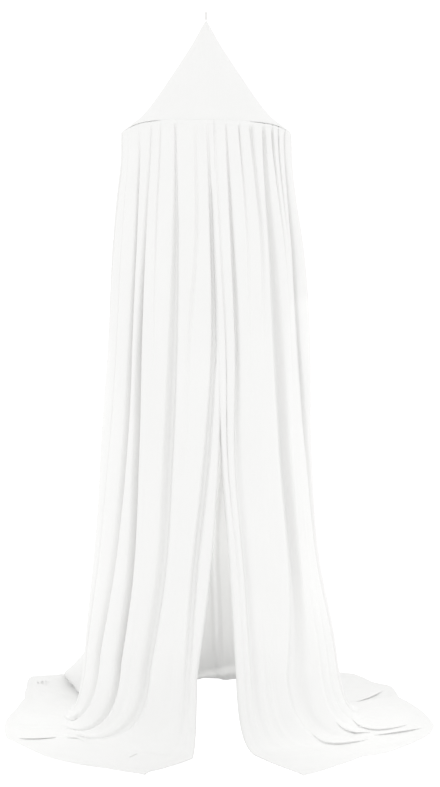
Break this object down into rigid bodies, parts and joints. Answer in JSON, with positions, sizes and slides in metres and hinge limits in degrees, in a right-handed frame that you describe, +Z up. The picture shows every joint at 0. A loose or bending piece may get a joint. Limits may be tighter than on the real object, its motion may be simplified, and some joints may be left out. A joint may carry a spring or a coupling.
{
  "type": "bed canopy with hoop",
  "caption": "Round bed canopy: a pointed cloth crown over a hoop and a gathered curtain that parts low at the front and spreads out on the floor.",
  "frame": {"origin": "inner top of the hanging loop, where a ceiling hook carries the canopy", "axes": "+Z up along the canopy's axis, -Y out of the front opening, +X to the right of someone facing the opening"},
  "size_m": [1.2546, 1.1234, 2.0969],
  "materials": {
    "muslin": "white crinkled cotton muslin, matt",
    "cord": "white twisted cotton cord",
    "rod": "white painted rod, hidden in its channel"
  },
  "bodies": {
    "root": {"hanging_loop": "cord", "crown": "muslin", "rim_casing": "muslin", "hoop": "rod", "curtain": "muslin"}
  },
  "joints": []
}
